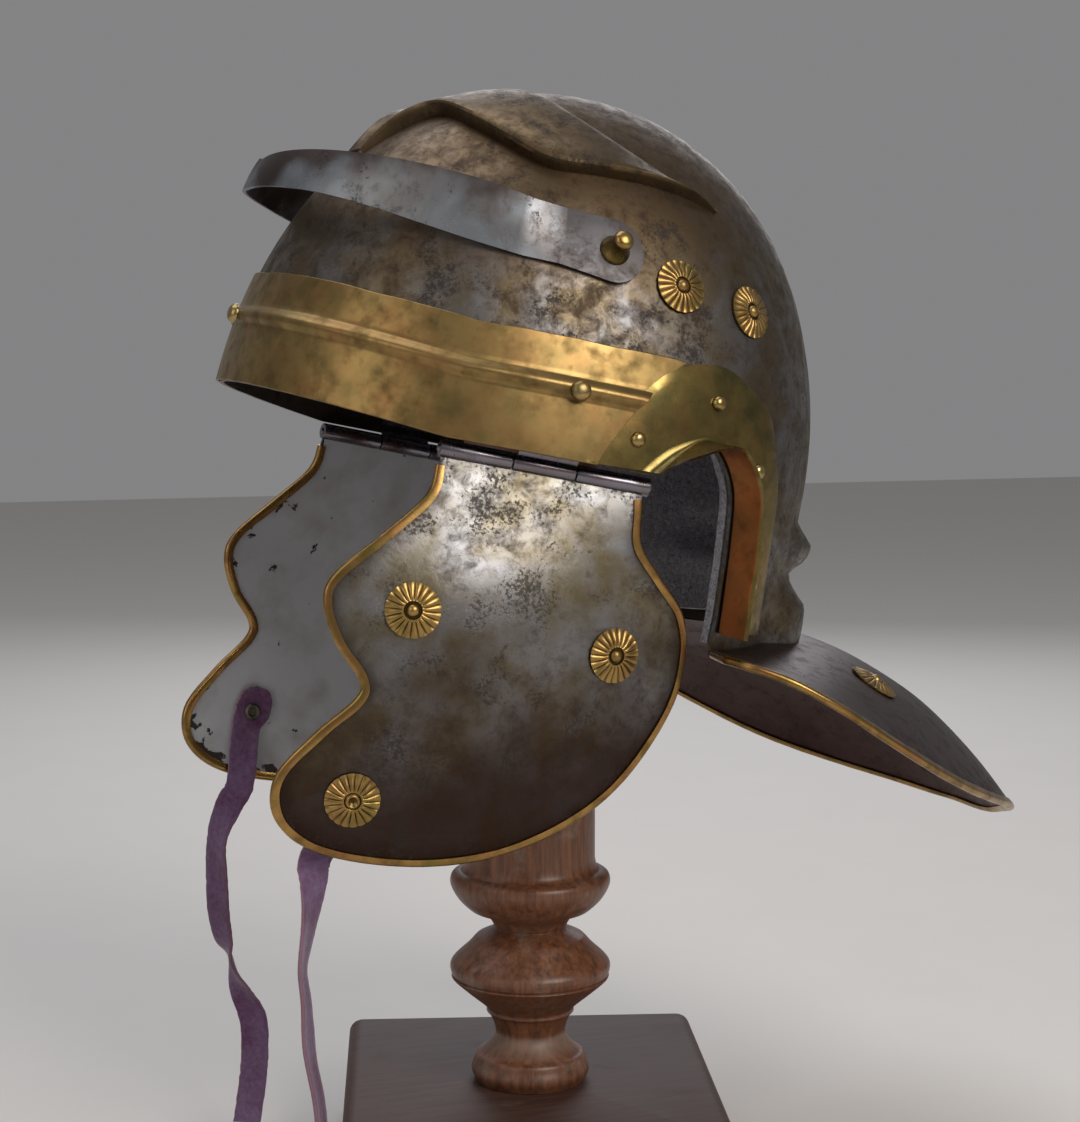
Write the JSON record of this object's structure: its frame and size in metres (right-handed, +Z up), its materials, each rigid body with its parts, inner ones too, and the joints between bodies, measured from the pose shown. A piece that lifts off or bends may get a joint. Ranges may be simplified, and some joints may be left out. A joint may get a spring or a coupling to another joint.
{
  "type": "roman legionary helmet on a turned wooden stand",
  "caption": "Forged helmet with neck guard, peak, brow band, ear guards and hinged cheek pieces, held by a turned post on a board.",
  "frame": {"origin": "centre of the post's axis on the underside of the stand's board", "axes": "+Z up along the post, -X towards the brow, -Y towards the wearer's left"},
  "size_m": [0.3377, 0.2502, 0.4318],
  "materials": {
    "steel": "worn, patinated",
    "brass": "tarnished",
    "felt": "matt felt",
    "suede": "suede",
    "turned_wood": "varnished",
    "board": "dark stained"
  },
  "bodies": {
    "helmet": {"skull_bowl": "steel", "felt_lining": "felt", "brow_band": "brass", "band_rivet_front": "brass", "band_rivet_left": "brass", "band_rivet_right": "brass", "peak": "steel", "peak_knob_left": "brass", "peak_knob_right": "brass", "skull_rosette_left_front": "brass", "skull_rosette_left_rear": "brass", "skull_rosette_right_front": "brass", "skull_rosette_right_rear": "brass", "ear_guard_left": "brass", "ear_guard_right": "brass", "ear_rivet_left_1": "brass", "ear_rivet_left_2": "brass", "ear_rivet_left_3": "brass", "ear_rivet_left_4": "brass", "ear_rivet_right_1": "brass", "ear_rivet_right_2": "brass", "ear_rivet_right_3": "brass", "ear_rivet_right_4": "brass", "guard_edging": "brass", "guard_rosette_left": "brass", "guard_rosette_right": "brass", "hinge_leaf_left": "steel", "hinge_leaf_right": "steel", "hinge_pin_left": "steel", "hinge_pin_right": "steel", "stand_board": "board", "stand_post": "turned_wood"},
    "left_cheek": {"cheek_plate_left": "steel", "cheek_edging_left": "brass", "cheek_rosette_left_upper": "brass", "cheek_rosette_left_rear": "brass", "cheek_rosette_left_lower": "brass", "thong_eyelet_left": "steel", "chin_thong_left": "suede"},
    "right_cheek": {"cheek_plate_right": "steel", "cheek_edging_right": "brass", "cheek_rosette_right_upper": "brass", "cheek_rosette_right_rear": "brass", "cheek_rosette_right_lower": "brass", "thong_eyelet_right": "steel", "chin_thong_right": "suede"}
  },
  "joints": [
    {"name": "left_cheek_hinge", "type": "hinge", "parent": "helmet", "child": "left_cheek", "pos_m": [-0.02547, -0.08634, 0.29211], "axis": [-0.9717, 0.1312, 0.1965], "range_deg": [-12, 85]},
    {"name": "right_cheek_hinge", "type": "hinge", "parent": "helmet", "child": "right_cheek", "pos_m": [-0.02547, 0.08634, 0.29211], "axis": [0.9717, 0.1312, -0.1965], "range_deg": [-12, 85]}
  ]
}
